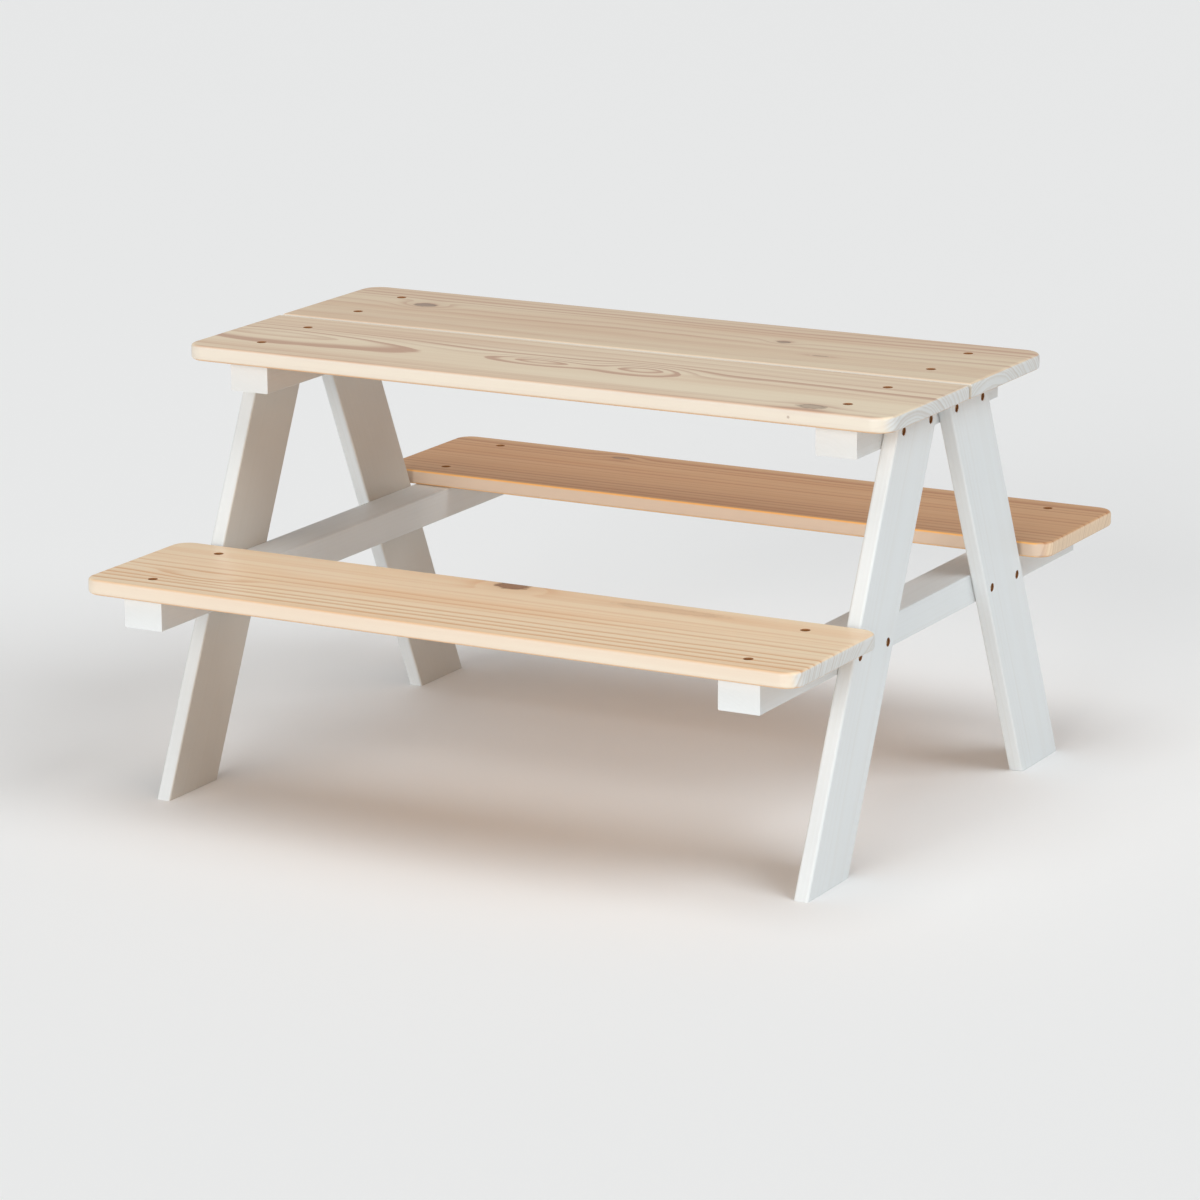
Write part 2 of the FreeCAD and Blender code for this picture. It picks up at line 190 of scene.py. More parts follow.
class Shade:
    """Writes the nodes of one material."""

    def __init__(self, name):
        self.material = bpy.data.materials.new(name)
        self.material.use_nodes = True
        self.tree = self.material.node_tree
        self.tree.nodes.clear()

    def feed(self, socket, value):
        """Link a wire to a socket, or set the socket to a plain value."""
        if isinstance(value, Wire):
            self.tree.links.new(value.socket, socket)
        else:
            socket.default_value = value

    def node(self, kind, settings, inputs):
        """Add a node: its settings first, then the values or wires of its sockets."""
        made = self.tree.nodes.new(kind)
        for name, value in settings.items():
            setattr(made, name, value)
        for name, value in inputs.items():
            self.feed(made.inputs[name], value)
        return made

    def out(self, node, name=0):
        """One output of a node as a wire."""
        return Wire(self, node.outputs[name])

    def maths(self, operation, *values):
        """A Math node on one to three numbers."""
        inputs = dict(enumerate(values))
        return self.out(self.node("ShaderNodeMath", {"operation": operation}, inputs))

    def root(self, value):
        """Square root."""
        return self.maths("SQRT", value)

    def bell(self, squared):
        """1 where squared is 0, falling off as a Gaussian."""
        return self.maths("EXPONENT", -squared)

    def step(self, value, low, high):
        """Smooth step from 0 at low to 1 at high."""
        inputs = {"Value": value, "From Min": low, "From Max": high}
        made = self.node("ShaderNodeMapRange", {"interpolation_type": "SMOOTHSTEP"}, inputs)
        return self.out(made, "Result")

    def mix(self, factor, first, second, blend="MIX"):
        """Mix two colours."""
        settings = {"data_type": "RGBA", "blend_type": blend, "clamp_factor": True}
        made = self.node("ShaderNodeMix", settings, {0: factor, 6: first, 7: second})
        return self.out(made, 2)

    def vector(self, operation, *values):
        """A Vector Math node."""
        inputs = dict(enumerate(values))
        return self.out(self.node("ShaderNodeVectorMath", {"operation": operation}, inputs))

    def dot(self, first, second):
        """Dot product of two vectors, as a number."""
        made = self.node("ShaderNodeVectorMath", {"operation": "DOT_PRODUCT"},
                         {0: first, 1: second})
        return self.out(made, "Value")

    def split(self, vector):
        """The three numbers of a vector."""
        made = self.node("ShaderNodeSeparateXYZ", {}, {"Vector": vector})
        return [self.out(made, axis) for axis in range(3)]

    def join(self, x, y, z):
        """A vector of three numbers."""
        return self.out(self.node("ShaderNodeCombineXYZ", {}, {0: x, 1: y, 2: z}))

    def noise(self, vector, seed, detail=2.0, roughness=0.5):
        """Noise of feature size 1, from 0 to 1, different for each seed."""
        inputs = {"Vector": vector, "W": seed, "Scale": 1.0, "Detail": detail,
                  "Roughness": roughness}
        return self.out(self.node("ShaderNodeTexNoise", {"noise_dimensions": "4D"}, inputs))

    def chance(self, value):
        """One number from 0 to 1 for each whole value."""
        made = self.node("ShaderNodeTexWhiteNoise", {"noise_dimensions": "1D"}, {"W": value})
        return self.out(made, "Value")

    def object_place(self):
        """Object coordinates."""
        return self.out(self.node("ShaderNodeTexCoord", {}, {}), "Object")

    def object_normal(self):
        """The surface's normal in object space."""
        return self.out(self.node("ShaderNodeTexCoord", {}, {}), "Normal")

    def bump(self, height, strength, distance):
        """A bumped normal."""
        inputs = {"Height": height, "Strength": strength, "Distance": distance}
        return self.out(self.node("ShaderNodeBump", {}, inputs))

    def finish(self, sockets):
        """Close the material with a Principled shader."""
        shader = self.node("ShaderNodeBsdfPrincipled", {}, sockets)
        output = self.node("ShaderNodeOutputMaterial", {}, {})
        self.tree.links.new(shader.outputs["BSDF"], output.inputs["Surface"])
        return self.material


def rgba(values):
    """A colour with full opacity."""
    return (*values, 1.0)


class Log:
    """Where a timber was cut from its log: ring sizes, pith, crowns and knots, in mm."""

    def __init__(self, seed, pith, ring=6.5, drift=3.0, crowns=(), knots=(), blush=None,
                 calm=(0, 1, 0), uneven=1.6):
        self.seed = seed
        self.pith = pith
        self.ring = ring
        self.drift = drift
        self.crowns = crowns
        self.knots = knots
        self.blush = blush
        self.calm = calm
        self.uneven = uneven


class Crown:
    """A place where the growth rings swell up to the face and show as nested ovals."""

    def __init__(self, along, across, half_length, half_width, rings, bold=0.8):
        self.along = along
        self.across = across
        self.half_length = half_length
        self.half_width = half_width
        self.half_height = None
        self.rings = rings
        self.bold = bold


class Knot:
    """A branch cut through: its place, half sizes, pull on the rings, and how grey it is."""

    def __init__(self, along, across, half_length, half_width, pull=1.5, grey=0.0, depth=1.0,
                 half_height=None):
        self.along = along
        self.across = across
        self.half_length = half_length
        self.half_width = half_width
        self.pull = pull
        self.grey = grey
        self.depth = depth
        self.half_height = half_height


class Timber:
    """The grain of one timber as wires: rings, fibres, knots and faces."""

    def __init__(self, shade, centre, grain, across, log):
        up = grain.cross(across)
        turn = Matrix((grain, across, up))
        start = -(turn @ centre) / MM
        inputs = {"Vector": shade.object_place(), "Location": start,
                  "Rotation": turn.to_euler("XYZ"), "Scale": Vector((1, 1, 1)) / MM}
        self.shade = shade
        self.log = log
        self.place = shade.out(shade.node("ShaderNodeMapping", {"vector_type": "POINT"}, inputs))
        self.along, self.across, self.up = shade.split(self.place)
        self.normal = shade.object_normal()
        self.endwise = abs(shade.dot(self.normal, grain))
        self.end = shade.step(self.endwise, 0.55, 0.9)
        self.side = shade.step(abs(shade.dot(self.normal, across)), 0.45, 0.9)
        self.facing = shade.dot(self.normal, up)
        self.heart, self.rim, self.halo, self.grey = self.knots()
        self.late, self.strength = self.rings()

    def stretched(self, along_mm, across_mm):
        """The place, squeezed so that noise on it is long along the grain."""
        size = (1 / along_mm, 1 / across_mm, 1 / across_mm)
        return self.shade.vector("MULTIPLY", self.place, size)

    def oval(self, spot):
        """Squared distance from a spot, 1 at its edge."""
        along = (self.along - spot.along) / spot.half_length
        across = (self.across - spot.across) / spot.half_width
        squared = along * along + across * across
        if spot.half_height:
            up = self.up / spot.half_height
            squared = squared + up * up
        return squared

    def knots(self):
        """Masks of the knots' hearts, dark rims, halos and greyness."""
        shade = self.shade
        heart, rim, halo, grey = 0.0, 0.0, 0.0, 0.0
        ragged = (shade.noise(self.stretched(7, 4), self.log.seed + 3.7) - 0.5) * 0.9
        for knot in self.log.knots:
            reach = shade.root(self.oval(knot)) + ragged
            inside = (1.0 - shade.step(reach, 0.85, 1.0)) * knot.depth
            ring = shade.step(reach, 0.6, 0.95) * (1.0 - shade.step(reach, 1.0, 1.25))
            heart = heart + inside
            rim = rim + ring * knot.depth
            halo = halo + shade.bell(self.oval(knot) * 0.22) * knot.depth
            grey = grey + inside * knot.grey
        return heart, rim, halo, grey

    def rings(self):
        """Late wood, from 0 in the early wood to 1, and how strong each ring is."""
        shade, log = self.shade, self.log
        sway = (shade.noise(self.stretched(520, 170), log.seed, 1.0) - 0.5) * (log.drift * 4)
        shiver = (shade.noise(self.stretched(90, 22), log.seed + 9.1, 2.0) - 0.5) * log.drift
        across = self.across - log.pith[0] + sway
        below = self.up - log.pith[1]
        reach = (shade.root(across * across + below * below) + shiver + sway) / log.ring
        uneven = shade.noise(shade.join(reach * 0.45, 0.0, 0.0), log.seed + 2.3, 1.0)
        reach = reach + uneven * log.uneven
        shown = self.halo * 0.8
        for crown in log.crowns:
            swell = shade.bell(self.oval(crown) * 1.1)
            reach = reach - swell * crown.rings
            shown = shown + swell * crown.bold
        for knot in log.knots:
            reach = reach + shade.bell(self.oval(knot) * 0.16) * knot.pull
        self.reach = reach
        year = shade.maths("FLOOR", reach)
        season = reach - year
        luck = shade.chance(year + log.seed)
        calm = shade.step(self.across, log.calm[0], log.calm[1]) * log.calm[2]
        strength = (luck * 0.75 + 0.25) * (1.0 - calm) + shown
        rise = shade.step(season, 0.25, 0.90)
        fall = 1.0 - shade.step(season, 0.92, 1.0)
        return rise * rise * fall, strength

    def arcs(self, finer):
        """Finer rings inside the broad ones, as a sawn end shows them."""
        season = self.shade.maths("FRACT", self.reach * finer)
        return self.shade.step(season, 0.2, 0.8) * (1.0 - self.shade.step(season, 0.85, 1.0))

    def fibres(self, along_mm, across_mm, seed, detail=3.0):
        """Long fine fibres, from -0.5 to 0.5."""
        field = self.shade.noise(self.stretched(along_mm, across_mm), self.log.seed + seed, detail)
        return field - 0.5

    def arris(self):
        """1 on the rounded edges, where the normal leans between two faces."""
        shade = self.shade
        sizes = [abs(part) for part in shade.split(self.normal)]
        largest = shade.maths("MAXIMUM", sizes[0], shade.maths("MAXIMUM", sizes[1], sizes[2]))
        return 1.0 - shade.step(largest, 0.74, 0.985)


def natural_pine(name, timber_of, early, late, finish, arris_light_above=0.1, arris_light_below=0.6,
                 end_dark=0.72, edge_cream=0.72, ends_pale=None, arris_light_tint=None):
    """Clear-lacquered pine: growth rings, fibres, knots, paler ends, a painted warm shade on the
    undersides, and painted light on the arrises (orange-brown painted shade below, a painted warm
    highlight above).
    """
    shade = Shade(name)
    grain = timber_of(shade)
    ends_pale = ends_pale or finish.end_grain
    ends_dark = [pale * end_dark * c for pale, c in zip(ends_pale, (1.1, 1.0, 0.88))]
    bands = grain.late * grain.strength
    fine = grain.fibres(380, 4.2, 1.1, 1.0)
    broad = shade.noise(grain.stretched(650, 48), grain.log.seed + 6.0, 2.0)
    canals = shade.step(shade.noise(grain.stretched(26, 2.2), grain.log.seed + 8.4, 0.0), 0.68, 0.8)
    tone = bands * 1.15 + fine * 0.60 + shade.step(broad, 0.45, 0.75) * 0.14
    if grain.log.blush:
        middle, half, amount = grain.log.blush
        lean = (grain.across - middle + (broad - 0.5) * 60) / half
        tone = tone + shade.bell(lean * lean) * (amount * 0.5)
    tint = shade.mix(tone, rgba(early), rgba(late))
    warm = [c * k for c, k in zip(late, (1.06, 0.95, 0.82))]
    tint = shade.mix(shade.step(broad, 0.35, 0.75) * 0.3, tint, rgba(warm))
    tint = shade.mix(canals * grain.late * 0.16, tint, rgba([c * 0.6 for c in late]))
    tint = shade.mix(grain.halo * 0.36, tint, rgba([c * 0.86 for c in late]))
    rays = shade.noise(shade.join(grain.along, grain.across, grain.up), grain.log.seed + 7.7, 3.0)
    heart = shade.mix(grain.grey, rgba(finish.knot_heart), rgba(finish.knot_grey))
    tint = shade.mix(grain.rim * 0.80, tint, rgba([c * 0.38 for c in late]))
    tint = shade.mix(grain.heart * (rays * 0.6 + 0.50), tint, heart)
    # The faces turned down get a painted warm shade.
    under = 1.0 - shade.step(grain.facing, -0.9, -0.5)
    tint = shade.mix(under * 0.85, tint, rgba(finish.underside_painted_shade))
    edge = rgba(finish.long_edge)
    tint = shade.mix(grain.side * (edge_cream - grain.heart * 0.5), tint, edge)
    arcs = grain.arcs(2.6)
    ends = shade.mix(bands * 0.30 + arcs * 0.45 + fine * 0.2, rgba(ends_pale), rgba(ends_dark))
    tint = shade.mix(grain.end * 0.92, tint, ends)
    # Painted light on the rounded long edges: orange-brown painted shade on the lower arrises and a
    # painted warm highlight on the upper ones, chosen by which way the edge faces.
    arris_light = grain.arris() * (1.0 - shade.step(grain.endwise, 0.12, 0.45))
    side = shade.step(grain.facing, -0.3, 0.3)
    arris_light = arris_light * (side * arris_light_above + (1.0 - side) * arris_light_below)
    tint = shade.mix(arris_light, tint, rgba(arris_light_tint or finish.arris_painted_light))
    relief = bands * 0.4 + fine * 0.15 - grain.rim * 0.4
    rough = 0.50 - bands * 0.10 + fine * 0.10 + grain.end * 0.14
    lacquer = 0.26 + bands * 0.06 - grain.end * 0.20
    return shade.finish({
        "Base Color": tint, "Roughness": rough, "IOR": 1.48,
        "Coat Weight": lacquer, "Coat Roughness": 0.26,
        "Normal": shade.bump(relief, 0.12, 0.0003),
    })


def white_glaze(name, timber_of, finish, inward, inner_shade_share):
    """White glaze that lets the pine show faintly, with a painted warm shade on the faces that turn
    inward.
    """
    shade = Shade(name)
    grain = timber_of(shade)
    bands = grain.late * grain.strength
    fine = grain.fibres(220, 1.6, 1.1)
    brush = grain.fibres(160, 7.0, 4.2, 3.0)
    cloud = shade.noise(grain.stretched(140, 60), grain.log.seed + 6.0, 2.0) - 0.5
    thin = bands * 0.17 + fine * 0.22 + brush * 0.24 + cloud * 0.24 + grain.arris() * 0.04
    thin = thin * (1.0 - grain.end * 0.6) + grain.rim * 0.20 + grain.heart * 0.22
    tint = shade.mix(shade.step(thin, -0.12, 0.95), rgba(finish.glaze), rgba(finish.glaze_grain))
    # Faces turned inward, under the table, get a painted warm shade in the share given.
    inside = shade.step(shade.dot(grain.normal, inward), 0.5, 0.9) * inner_shade_share
    tint = shade.mix(inside, tint, rgba(finish.inner_face_painted_shade))
    relief = bands * 0.6 + fine * 0.6 + brush * 0.5
    return shade.finish({
        "Base Color": tint, "Roughness": 0.46 + fine * 0.12 + brush * 0.10 + grain.end * 0.1,
        "IOR": 1.5, "Coat Weight": 0.10 + brush * 0.05, "Coat Roughness": 0.38,
        "Normal": shade.bump(relief, 0.40, 0.0004),
    })


def bore_painted_shade_material(finish):
    """Bare, cut wood inside the bores, with a fine speckle; its dark brown is a painted shade for
    the depth of the bores.
    """
    shade = Shade("bore_wood_painted_shade")
    place = shade.vector("SCALE", shade.object_place())
    place = shade.vector("MULTIPLY", shade.object_place(), (900, 900, 900))
    speck = shade.noise(place, 4.0, 3.0)
    tint = shade.mix(speck, rgba(finish.bore_wood_and_painted_shade), rgba([c * 1.45 for c in finish.bore_wood_and_painted_shade]))
    return shade.finish({
        "Base Color": tint, "Roughness": 0.75 + speck * 0.15,
        "Normal": shade.bump(speck, 0.5, 0.0003),
    })


def screw_metal(finish):
    """Yellow passivated steel with slightly uneven colour and fine handling marks."""
    shade = Shade("yellow_passivated_screw")
    place = shade.vector("MULTIPLY", shade.object_place(), (1000, 1000, 1000))
    cloud = shade.noise(place, 2.0, 3.0)
    marks = shade.noise(shade.vector("MULTIPLY", place, (6.0, 6.0, 1.5)), 5.0, 2.0)
    tint = shade.mix(cloud, rgba(finish.screw), rgba([c * k for c, k in
                                                      zip(finish.screw, (0.9, 0.86, 1.25))]))
    return shade.finish({
        "Base Color": tint, "Metallic": 1.0, "Roughness": 0.22 + marks * 0.2,
        "Normal": shade.bump(marks, 0.15, 0.0001),
    })


def floor_paint(finish):
    """Matt studio floor with a trace of unevenness."""
    shade = Shade("studio_floor")
    cloud = shade.noise(shade.vector("MULTIPLY", shade.object_place(), (0.8, 0.8, 0.8)), 1.0, 3.0)
    grit = shade.noise(shade.vector("MULTIPLY", shade.object_place(), (240, 240, 240)), 2.0, 2.0)
    tint = shade.mix(cloud * 0.10 + grit * 0.04, rgba(finish.floor),
                     rgba([c * 0.93 for c in finish.floor]))
    return shade.finish({
        "Base Color": tint, "Roughness": 0.78 + grit * 0.08,
        "Normal": shade.bump(grit, 0.05, 0.0002),
    })


# ------------------------------------------------------------------------------------- modelling


def sizes():
    """The sizes in use."""
    return bpy.context.scene.picnic_sizes


def finishes():
    """The colours in use."""
    return bpy.context.scene.picnic_finish


def make_active(*pieces):
    """Select only these pieces, and make the first active."""
    if bpy.context.object and bpy.context.object.mode != "OBJECT":
        bpy.ops.object.mode_set(mode="OBJECT")
    bpy.ops.object.select_all(action="DESELECT")
    for piece in pieces:
        piece.select_set(True)
    bpy.context.view_layer.objects.active = pieces[0]


def name_piece(piece, name):
    """Name a piece and its mesh."""
    piece.name = name
    piece.data.name = name
    return piece


def add_block(name, low, high):
    """A squared block between two corners."""
    bpy.ops.object.select_all(action="DESELECT")
    bpy.ops.mesh.primitive_cube_add(size=1, location=(low + high) / 2, scale=high - low)
    bpy.ops.object.transform_apply(location=True, rotation=True, scale=True)
    return name_piece(bpy.context.object, name)


def pick_edges(piece, wanted):
    """In edit mode, select the edges whose two ends are wanted."""
    make_active(piece)
    bpy.ops.object.mode_set(mode="EDIT")
    bpy.ops.mesh.select_mode(type="EDGE")
    bpy.ops.mesh.select_all(action="DESELECT")
    shape = bmesh.from_edit_mesh(piece.data)
    for edge in shape.edges:
        edge.select_set(wanted(edge.verts[0].co, edge.verts[1].co))
    bmesh.update_edit_mesh(piece.data)


def pick_faces(piece, wanted):
    """In edit mode, select the faces whose middle and normal are wanted."""
    make_active(piece)
    bpy.ops.object.mode_set(mode="EDIT")
    bpy.ops.mesh.select_mode(type="FACE")
    bpy.ops.mesh.select_all(action="DESELECT")
    shape = bmesh.from_edit_mesh(piece.data)
    shape.normal_update()
    for face in shape.faces:
        face.select_set(wanted(face.calc_center_median(), face.normal))
    bmesh.update_edit_mesh(piece.data)


def round_over(piece, radius, steps, wanted):
    """Round the wanted edges."""
    pick_edges(piece, wanted)
    bpy.ops.mesh.bevel(offset_type="OFFSET", offset=radius, segments=steps, profile=0.5,
                       affect="EDGES")
    bpy.ops.object.mode_set(mode="OBJECT")


def turned_cutter(name, mouth, axis, stages, materials):
    """A round cutter down an axis from a mouth, through stages of (radius, depth).

    The first stage is the deepest. Each stage starts at the radius and depth given.
    """
    steps = 40
    radius, deepest = stages[0]
    turn = UP.rotation_difference(-axis).to_euler()
    first_rise = deepest - stages[1][1]
    centre = mouth + axis * (deepest - first_rise / 2)
    bpy.ops.object.select_all(action="DESELECT")
    bpy.ops.mesh.primitive_cylinder_add(vertices=steps, radius=radius, depth=first_rise,
                                        location=centre, rotation=turn)
    bpy.ops.object.transform_apply(location=True, rotation=True, scale=True)
    cutter = name_piece(bpy.context.object, name)
    at_radius, at_depth = stages[1]

    def on_cap(middle, normal):
        return normal.dot(-axis) > 0.99

    pick_faces(cutter, on_cap)
    spot = radius
    level = at_depth
    for wide, depth in stages[1:]:
        bpy.ops.mesh.extrude_region_move(
            TRANSFORM_OT_translate={"value": -axis * (level - depth)})
        if abs(wide - spot) > NEAR / 10:
            factor = wide / spot
            bpy.ops.transform.resize(value=(factor, factor, factor),
                                     center_override=mouth + axis * depth)
        spot, level = wide, depth
    bpy.ops.object.mode_set(mode="OBJECT")
    for material in materials:
        cutter.data.materials.append(material)
    outer = min(depth for _, depth in stages)
    rim = sorted(depth for _, depth in stages)[-1 if len(stages) < 5 else 2]
    for face in cutter.data.polygons:
        depths = [(cutter.data.vertices[v].co - mouth).dot(axis) for v in face.vertices]
        in_rim = max(depths) < rim + NEAR and min(depths) > outer + NEAR
        face.material_index = 1 if in_rim and len(materials) > 1 else 0
    return cutter


def bore_stages(size, thickness, head_floor):
    """A clearance hole, a flat-bottomed bore and its chamfered mouth."""
    beyond = 1 * MM
    hole, wide, rim = size.clearance / 2, size.bore / 2, size.bore_rim
    return [(hole, thickness + beyond), (hole, head_floor), (wide, head_floor), (wide, rim),
            (wide + rim, 0.0), (wide + rim, -beyond)]


def pilot_stages(size, depth):
    """A plain pilot hole with a slightly broken mouth."""
    beyond = 1 * MM
    hole, rim = size.pilot / 2, 0.3 * MM
    return [(hole, depth), (hole, rim), (hole + rim, 0.0), (hole + rim, -beyond)]


def cut(piece, cutters):
    """Cut the joined cutters out of a piece; the cut faces keep the cutters' material."""
    make_active(*cutters)
    if len(cutters) > 1:
        bpy.ops.object.join()
    tool = bpy.context.object
    make_active(piece)
    carve = piece.modifiers.new("Bores", "BOOLEAN")
    carve.operation = "DIFFERENCE"
    carve.solver = "EXACT"
    carve.material_mode = "TRANSFER"
    carve.object = tool
    bpy.ops.object.modifier_apply(modifier=carve.name)
    bpy.data.objects.remove(tool, do_unlink=True)


def hand_over(piece, node, crease=35):
    """Smooth a piece's roundings, keep its flats flat, and let it stand for its node."""
    make_active(piece)
    bpy.ops.object.shade_smooth_by_angle(angle=math.radians(crease), keep_sharp_edges=True)
    flats = piece.modifiers.new("Flats", "WEIGHTED_NORMAL")
    flats.keep_sharp = True
    bpy.ops.object.modifier_apply(modifier=flats.name)
    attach(piece, ROOT)
    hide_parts(node)


class Pair:
    """Two screws of a node: where their heads' tops are, and which way they point."""

    def __init__(self, node):
        low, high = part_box(node)
        spans = high - low
        self.node = node
        self.radius = min(spans) / 2
        self.axis = Vector((0, 0, -1))
        self.top = high.z
        self.reach = spans.z
        middle = (low + high) / 2
        if spans.x > spans.z:
            outward = 1 if middle.x > 0 else -1
            self.axis = Vector((-outward, 0, 0))
            self.top = outward * max(abs(low.x), abs(high.x))
            self.reach = spans.x
        self.heads = []
        for y in (low.y + self.radius, high.y - self.radius):
            if self.axis.x:
                self.heads.append(Vector((self.top, y, middle.z)))
            else:
                self.heads.append(Vector((middle.x, y, self.top)))


def screw_nodes(start):
    """The names of the screw nodes that start this way."""
    return sorted(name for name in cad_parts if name.startswith(start))


def add_board(node, corner, screw_start, material, bore_material):
    """A board with rounded plan corners, rounded arrises and bores for its screws."""
    size = sizes()
    low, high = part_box(node)
    board = add_block(f"{node}_timber", low, high)
    outer = -1 if low.y + high.y < 0 else 1
    square_inside = node.startswith("table")

    def plan_corner(a, b):
        upright = abs(a.x - b.x) < NEAR and abs(a.y - b.y) < NEAR
        inside = square_inside and abs(a.y * outer - max(abs(low.y), abs(high.y))) > NEAR
        return upright and not inside

    def arris(a, b):
        on_top = abs(a.z - high.z) < NEAR and abs(b.z - high.z) < NEAR
        under = abs(a.z - low.z) < NEAR and abs(b.z - low.z) < NEAR
        return on_top or under

    round_over(board, corner, 12, plan_corner)
    round_over(board, size.board_arris, 5, arris)
    board.data.materials.append(material)
    cutters = []
    for pair_node in screw_nodes(screw_start):
        pair = Pair(pair_node)
        floor = high.z - (pair.top - size.head_height)
        for head in pair.heads:
            mouth = Vector((head.x, head.y, high.z))
            stages = bore_stages(size, high.z - low.z, floor)
            cutters.append(turned_cutter("bore", mouth, pair.axis, stages,
                                         (bore_material, bore_material)))
    cut(board, cutters)
    hand_over(board, node)
    return board


def leg_lean(front_or_rear):
    """Sideways run of a leg for each unit of height, from its two pairs of screws."""
    top = Pair(f"leg_top_screws_{front_or_rear}_right").heads
    seat = Pair(f"leg_seat_screws_{front_or_rear}_right").heads
    return (sum(h.y for h in top) - sum(h.y for h in seat)) / (top[0].z + top[1].z
                                                              - seat[0].z - seat[1].z)


def add_leg(node, material, bore_material):
    """A leaning leg, cut level at both ends, with rounded long edges and four bores."""
    size = sizes()
    low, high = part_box(node)
    _, end, side = node.split("_")
    lean = leg_lean(end)
    tall = high.z - low.z
    run = lean * tall
    wide = (high.y - low.y) - abs(run)
    head_low, head_high = low.copy(), high.copy()
    if run > 0:
        head_low.y = high.y - wide
    else:
        head_high.y = low.y + wide
    leg = add_block(f"{node}_timber", head_low, head_high)

    def foot(middle, normal):
        return normal.z < -0.9

    pick_faces(leg, foot)
    bpy.ops.transform.translate(value=(0, -run, 0))
    bpy.ops.object.mode_set(mode="OBJECT")

    def long_edge(a, b):
        return abs(a.z - b.z) > tall / 2

    def end_edge(a, b):
        return abs(a.z - b.z) < NEAR

    round_over(leg, size.leg_arris, 5, long_edge)
    round_over(leg, 0.4 * MM, 2, end_edge)
    leg.data.materials.append(material)
    cutters = []
    for joint in ("top", "seat"):
        pair = Pair(f"leg_{joint}_screws_{end}_{side}")
        face = high.x if pair.axis.x < 0 else low.x
        floor = abs(face) - (abs(pair.top) - size.head_height)
        for head in pair.heads:
            mouth = Vector((face, head.y, head.z))
            stages = bore_stages(size, high.x - low.x, floor)
            cutters.append(turned_cutter("bore", mouth, pair.axis, stages,
                                         (bore_material, material)))
    cut(leg, cutters)
    hand_over(leg, node)
    return leg


def add_rail(node, material, bore_material):
    """A rail with lightly rounded edges and the pilot holes its screws bite into."""
    size = sizes()
    low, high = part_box(node)
    rail = add_block(f"{node}_timber", low, high)

    def any_edge(a, b):
        return abs(a.y - b.y) > NEAR

    def end_edge(a, b):
        return abs(a.y - b.y) < NEAR

    round_over(rail, size.rail_arris, 4, any_edge)
    round_over(rail, 0.4 * MM, 2, end_edge)
    rail.data.materials.append(material)
    side = node.rsplit("_", 1)[1]
    level = "top" if node.startswith("top") else "seat"
    boards = "table" if level == "top" else "bench"
    cutters = []
    for end in ("front", "rear"):
        for pair_node in (f"{boards}_screws_{end}_{side}", f"leg_{level}_screws_{end}_{side}"):
            pair = Pair(pair_node)
            for head in pair.heads:
                mouth = head.copy()
                if pair.axis.x:
                    mouth.x = high.x if pair.axis.x < 0 else low.x
                else:
                    mouth.z = high.z
                depth = pair.reach - (mouth - head).length + size.pilot_spare
                cutters.append(turned_cutter("pilot", mouth, pair.axis,
                                             pilot_stages(size, depth), (bore_material,)))
    cut(rail, cutters)
    hand_over(rail, node)
    return rail


def add_screw(reach, head_radius):
    """One pan-head wood screw, head up, with the top of its head at the origin."""
    size = sizes()
    around = 32
    wall = size.head_wall
    dome = size.head_height - wall
    bpy.ops.object.select_all(action="DESELECT")
    bpy.ops.mesh.primitive_cylinder_add(vertices=around, radius=head_radius, depth=wall,
                                        location=(0, 0, -dome - wall / 2))
    bpy.ops.object.transform_apply(location=True, rotation=True, scale=True)
    screw = name_piece(bpy.context.object, "screw_master")

    def upper(middle, normal):
        return normal.z > 0.9

    def lower(middle, normal):
        return normal.z < -0.9

    pick_faces(screw, upper)
    rings = 6
    before = 1.0
    for ring in range(1, rings + 1):
        turn = math.radians(78) * ring / rings
        rise = dome * (math.sin(turn) - math.sin(math.radians(78) * (ring - 1) / rings))
        rise = rise / math.sin(math.radians(78))
        now = 0.34 + 0.66 * math.cos(turn)
        bpy.ops.mesh.extrude_region_move(TRANSFORM_OT_translate={"value": (0, 0, rise)})
        factor = now / before
        bpy.ops.transform.resize(value=(factor, factor, 1))
        before = now
    pick_faces(screw, lower)
    core = size.core / 2
    narrow = core / head_radius
    bpy.ops.mesh.extrude_region_move(TRANSFORM_OT_translate={"value": (0, 0, 0)})
    bpy.ops.transform.resize(value=(narrow, narrow, 1))
    shank = reach - size.head_height - size.tip
    bpy.ops.mesh.extrude_region_move(TRANSFORM_OT_translate={"value": (0, 0, -shank)})
    bpy.ops.mesh.extrude_region_move(TRANSFORM_OT_translate={"value": (0, 0, -size.tip * 0.6)})
    bpy.ops.transform.resize(value=(0.62, 0.62, 1))
    bpy.ops.mesh.extrude_region_move(TRANSFORM_OT_translate={"value": (0, 0, -size.tip * 0.4)})
    bpy.ops.transform.resize(value=(0.1, 0.1, 1))
    bpy.ops.object.mode_set(mode="OBJECT")
    add_thread(screw, size, reach)
    cut_recess(screw, size)
    return screw


